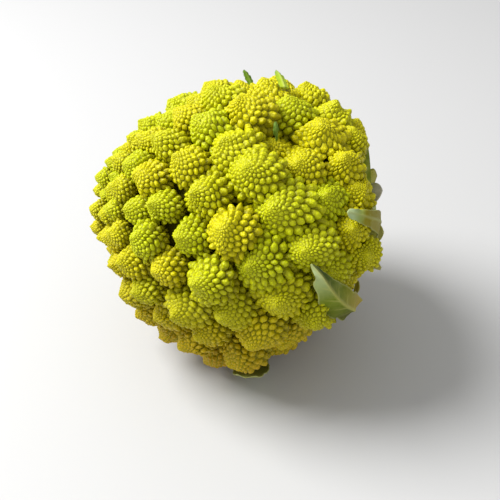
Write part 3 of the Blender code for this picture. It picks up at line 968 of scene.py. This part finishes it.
for name, form in bladeForms.items():
    centres, halfWidths = leafRows(leaves[name], form["rows"])
    points, faces, colours = growBlade(centres, halfWidths, form)
    piece = makeMesh(name, points + heart, faces, colours)
    addPiece(piece, bladeMaterial(name, form), form["node"])
stubFinishes = (bladeMaterial("leaf stubs", stubForm), bladeMaterial("pale stub", stubForm | paleStub))
for number in range(len(stubs["turns"])):
    centres, halfWidths = stubRows(number, stubForm["rows"])
    points, faces, colours = growBlade(centres, halfWidths, stubForm)
    piece = makeMesh(f"stub_{number + 1}", points + heart, faces, colours)
    addPiece(piece, stubFinishes[number == stubs["pale"]], f"leaf_stub_{number + 1}")
print("leaves and stubs ready")

# The cut stem
stem = {
    "seat": 0.0463,          # from the heart to its hidden end
    "length": 0.0120,
    "radius": 0.0160,
    "endRadius": 0.0140,
    "ribs": 9,
    "ribRise": 0.035,
    "ring": 0.78,            # where the tougher ring shows on the cut, as a share of its radius
    "hollow": 0.0006,
    "across": 180,
    "fibres": 47,
    "roughness": 0.5,
    "specular": 0.3,
    "skin": (0.42, 0.50, 0.14),
    "skinPale": (0.56, 0.62, 0.28),
    "cut": (0.66, 0.66, 0.40),
    "ringColour": (0.44, 0.44, 0.16),
    "dry": (0.46, 0.34, 0.14),
}


def growStem():
    first, second = stemFrame()
    across = stem["across"]
    turns = np.arange(across) * fullTurn / across
    fibre = np.cos(stem["fibres"] * turns)
    around = np.cos(turns)[:, None] * first + np.sin(turns)[:, None] * second
    ribs = 1 + stem["ribRise"] * np.cos(stem["ribs"] * turns + 0.4) + 0.008 * fibre
    rows, colours = [], []
    for share in np.linspace(0, 1, 30):
        radius = stem["radius"] + (stem["endRadius"] - stem["radius"]) * share
        edge = 1 - 0.05 * max(0.0, (share - 0.93) / 0.07) ** 2
        along = stemAxis * (stem["seat"] + stem["length"] * share)
        rows.append(along + around * (radius * ribs * edge)[:, None])
        colours.append(np.stack((0.5 + 0.5 * fibre, np.zeros(across), turns / fullTurn), axis=1))
    for share in np.linspace(0.97, 0.02, 40):
        nearRing = math.exp(-(((share - stem["ring"]) / 0.05) ** 2))
        grain = 0.0001 * np.cos(31 * turns + 9 * share) * nearRing
        height = stem["length"] - stem["hollow"] * (1 - share**2) + 0.00025 * nearRing
        keep = ribs ** (share**2) * 0.95
        rim = around * (stem["endRadius"] * share * keep)[:, None]
        rows.append(stemAxis * (stem["seat"] + height) + rim + grain[:, None] * stemAxis)
        colours.append(np.tile((nearRing, 1.0, share), (across, 1)))
    points = np.concatenate(rows)
    start = np.arange(across)
    last = len(points) - across + start
    ends = np.array([stemAxis * stem["seat"], stemAxis * (stem["seat"] + stem["length"] - stem["hollow"])])
    caps = (
        np.stack((np.roll(start, -1), start, np.full(across, len(points))), axis=1),
        np.stack((last, np.roll(last, -1), np.full(across, len(points) + 1)), axis=1),
    )
    faces = np.concatenate((tubeFaces(len(rows), across), *caps))
    colours = np.concatenate(colours + [np.array([[0.0, 0.0, 0.0], [0.0, 1.0, 0.0]])])
    return np.concatenate((points, ends)), faces, colours


def stemMaterial():
    material, tree, shader = newMaterial("cut stem", stem["roughness"])
    ring, onCut, share = growthParts(tree)[:3]
    skin = mixColour(tree, ring, stem["skin"], stem["skinPale"])
    skin = mixColour(tree, spread(tree, noise(tree, 300.0, 4.0), 0.4, 0.8, 0.5), skin, stem["skinPale"])
    cut = mixColour(tree, spread(tree, noise(tree, 650.0, 4.0), 0.45, 0.8, 0.6), stem["cut"], stem["dry"])
    cut = mixColour(tree, ring, cut, stem["ringColour"])
    cut = mixColour(tree, spread(tree, share, 0.90, 0.99, 0.6), cut, stem["dry"])
    tree.links.new(mixColour(tree, onCut, skin, cut), shader.inputs["Base Color"])
    shader.inputs["Specular IOR Level"].default_value = stem["specular"]
    return material


points, faces, colours = growStem()
addPiece(makeMesh("cutStem", points + heart, faces, colours), stemMaterial(), "stem")
print("stem ready")

# Studio: pale floor, soft light from the upper left and behind
studio = {
    "floor": (0.60, 0.60, 0.60),
    "floorHalf": 3.0,
    "world": 0.47,
    "lightWidth": 0.80,
    "key": {"place": (-0.82, 0.12, 1.08), "power": 26.0},
    "fill": {"place": (0.50, -0.70, 0.50), "power": 0.5},
}


def addAreaLight(name, values):
    data = bpy.data.lights.new(name, "AREA")
    data.shape = "DISK"
    data.size = studio["lightWidth"]
    data.energy = values["power"]
    light = bpy.data.objects.new(name, data)
    light.location = values["place"]
    light.rotation_euler = (Vector(heart) - Vector(values["place"])).to_track_quat("-Z", "Y").to_euler()
    bpy.context.scene.collection.objects.link(light)


def makeStudio():
    size = studio["floorHalf"]
    corners = [(-size, -size, 0), (size, -size, 0), (size, size, 0), (-size, size, 0)]
    mesh = bpy.data.meshes.new("floor")
    mesh.from_pydata(corners, [], [(0, 1, 2, 3)])
    floor = bpy.data.objects.new("floor", mesh)
    bpy.context.scene.collection.objects.link(floor)
    material, _, shader = newMaterial("pale floor", 0.7)
    shader.inputs["Base Color"].default_value = (*studio["floor"], 1.0)
    mesh.materials.append(material)
    world = bpy.data.worlds.new("soft surroundings")
    bpy.context.scene.world = world
    world.use_nodes = True
    background = world.node_tree.nodes["Background"]
    background.inputs["Color"].default_value = (1.0, 1.0, 1.0, 1.0)
    background.inputs["Strength"].default_value = studio["world"]
    addAreaLight("key light", studio["key"])
    addAreaLight("fill light", studio["fill"])
    bpy.context.scene.view_settings.view_transform = "Standard"


makeStudio()
print("studio ready")
